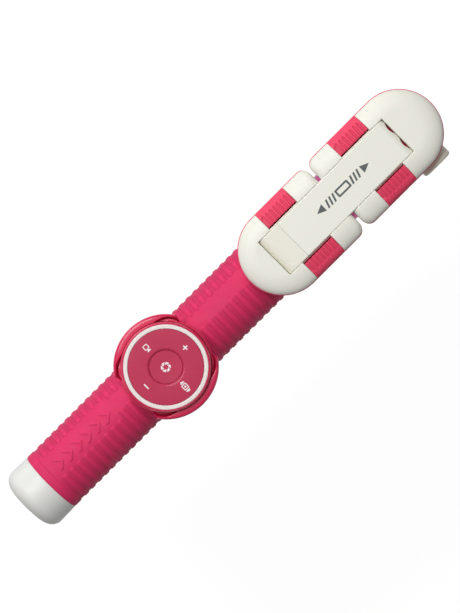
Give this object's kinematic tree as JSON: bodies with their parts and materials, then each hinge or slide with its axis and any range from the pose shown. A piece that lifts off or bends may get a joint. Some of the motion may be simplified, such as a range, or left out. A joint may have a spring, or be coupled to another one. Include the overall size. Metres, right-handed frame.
{
  "type": "selfie stick",
  "caption": "Telescopic handheld pole with a ribbed soft grip, a lift-out round wireless remote in a cradle and a spring phone clamp that folds flat over the grip.",
  "frame": {"origin": "centre of the end cap's flat outer face, on the pole's axis", "axes": "+X along the pole from the end cap to the phone clamp, +Z the way the remote's keys face, -Y the tilt knob's side"},
  "size_m": [0.2256, 0.0418, 0.0392],
  "materials": {
    "pink_silicone": "moulded matte silicone",
    "pink_gloss_plastic": "moulded, satin to gloss",
    "white_plastic": "moulded, satin white",
    "cream_plastic": "moulded, satin cream",
    "ring_plastic": "moulded, off-white",
    "key_plastic": "fine-textured matte",
    "anodised_tube": "anodised pink-purple",
    "polished_tube": "drawn and polished",
    "bush_plastic": "acetal, natural black",
    "steel": "zinc plated",
    "spring_steel": "drawn spring wire",
    "cell_steel": "nickel plated",
    "contact_metal": "plated spring strip",
    "brass": "turned insert",
    "clear_silicone": "translucent grey silicone",
    "board_green": "solder resist"
  },
  "bodies": {
    "handle": {"end_cap": "white_plastic", "grip_sleeve": "pink_silicone", "handle_tube": "anodised_tube", "cradle_band": "pink_gloss_plastic", "remote_cradle": "pink_gloss_plastic", "cradle_screws": "steel"},
    "tube_1": {"pole_section_1": "polished_tube", "slide_bush_1": "bush_plastic"},
    "tube_2": {"pole_section_2": "polished_tube", "slide_bush_2": "bush_plastic"},
    "tube_3": {"pole_section_3": "polished_tube", "slide_bush_3": "bush_plastic"},
    "tube_4": {"pole_section_4": "polished_tube", "slide_bush_4": "bush_plastic"},
    "tube_5": {"pole_section_5": "polished_tube", "slide_bush_5": "bush_plastic", "pole_ferrule": "white_plastic", "swivel_screw": "steel"},
    "head": {"head_fork": "white_plastic", "tilt_bolt": "steel", "tilt_washer": "steel"},
    "knob": {"tilt_knob": "white_plastic", "tilt_knob_nut": "brass"},
    "fixed_jaw": {"fixed_jaw_base": "pink_gloss_plastic", "fixed_jaw_cover": "white_plastic", "fixed_jaw_tips": "white_plastic", "fixed_jaw_pads": "pink_silicone", "fixed_jaw_screws": "steel"},
    "spring_box": {"spring_box_cover": "white_plastic", "spring_box_back": "white_plastic", "clamp_springs": "spring_steel", "box_spring_posts": "steel", "box_screws": "steel", "box_hinge_pin": "steel"},
    "tongue": {"slide_tongue": "cream_plastic", "tongue_spring_posts": "steel", "tongue_hinge_pin": "steel"},
    "sliding_jaw": {"sliding_jaw_base": "pink_gloss_plastic", "sliding_jaw_cover": "white_plastic", "sliding_jaw_tips": "white_plastic", "sliding_jaw_pads": "pink_silicone", "sliding_jaw_screws": "steel"},
    "remote": {"remote_bottom_shell": "pink_gloss_plastic", "remote_top_shell": "pink_gloss_plastic", "white_trim_ring": "ring_plastic", "circuit_board": "board_green", "dome_switches": "steel", "battery_contacts": "contact_metal", "coin_cell": "cell_steel", "remote_screws": "steel"},
    "rocker_mat": {"key_mat": "clear_silicone"},
    "rocker_key": {"direction_key": "key_plastic"},
    "centre_key": {"shutter_key": "key_plastic"},
    "door": {"battery_door": "pink_gloss_plastic"}
  },
  "joints": [
    {"name": "section_1_slide", "type": "slide", "parent": "handle", "child": "tube_1", "axis": [1, 0, 0], "range_m": [0, 0.15]},
    {"name": "section_2_slide", "type": "slide", "parent": "tube_1", "child": "tube_2", "axis": [1, 0, 0], "range_m": [0, 0.15]},
    {"name": "section_3_slide", "type": "slide", "parent": "tube_2", "child": "tube_3", "axis": [1, 0, 0], "range_m": [0, 0.15]},
    {"name": "section_4_slide", "type": "slide", "parent": "tube_3", "child": "tube_4", "axis": [1, 0, 0], "range_m": [0, 0.15]},
    {"name": "section_5_slide", "type": "slide", "parent": "tube_4", "child": "tube_5", "axis": [1, 0, 0], "range_m": [0, 0.15]},
    {"name": "head_swivel", "type": "hinge", "parent": "tube_5", "child": "head", "pos_m": [0.1964, 0, 0], "axis": [1, 0, 0], "range_deg": [-180, 180]},
    {"name": "clamp_tilt", "type": "hinge", "parent": "head", "child": "fixed_jaw", "pos_m": [0.2115, 0, 0.0074], "axis": [0, 1, 0], "range_deg": [0, 120]},
    {"name": "knob_turn", "type": "hinge", "parent": "head", "child": "knob", "pos_m": [0.2115, -0.015, 0.0074], "axis": [0, 1, 0], "continuous": true},
    {"name": "box_swing", "type": "hinge", "parent": "fixed_jaw", "child": "spring_box", "pos_m": [0.2038, 0, 0.02], "axis": [0, 1, 0], "range_deg": [0, 90]},
    {"name": "clamp_slide", "type": "slide", "parent": "spring_box", "child": "tongue", "axis": [-1, 0, 0], "range_m": [0, 0.027], "deforming": ["clamp_springs"]},
    {"name": "sliding_jaw_swing", "type": "hinge", "parent": "tongue", "child": "sliding_jaw", "pos_m": [0.1419, 0, 0.02], "axis": [0, 1, 0], "range_deg": [0, 90]},
    {"name": "remote_lift", "type": "slide", "parent": "handle", "child": "remote", "axis": [0, 0, 1], "range_m": [0, 0.02]},
    {"name": "volume_rock", "type": "hinge", "parent": "remote", "child": "rocker_mat", "pos_m": [0.0791, 0, 0.02315], "axis": [0, 1, 0], "range_deg": [-1.5, 1.5]},
    {"name": "mode_rock", "type": "hinge", "parent": "rocker_mat", "child": "rocker_key", "pos_m": [0.0791, 0, 0.02375], "axis": [1, 0, 0], "range_deg": [-1.5, 1.5]},
    {"name": "shutter_press", "type": "slide", "parent": "remote", "child": "centre_key", "axis": [0, 0, -1], "range_m": [0, 0.0003]},
    {"name": "battery_door_turn", "type": "hinge", "parent": "remote", "child": "door", "pos_m": [0.0791, 0, 0.0165], "axis": [0, 0, 1], "range_deg": [0, 20]}
  ],
  "couplings": [
    {"joint": "sliding_jaw_swing", "follows": "box_swing", "ratio": 1}
  ]
}
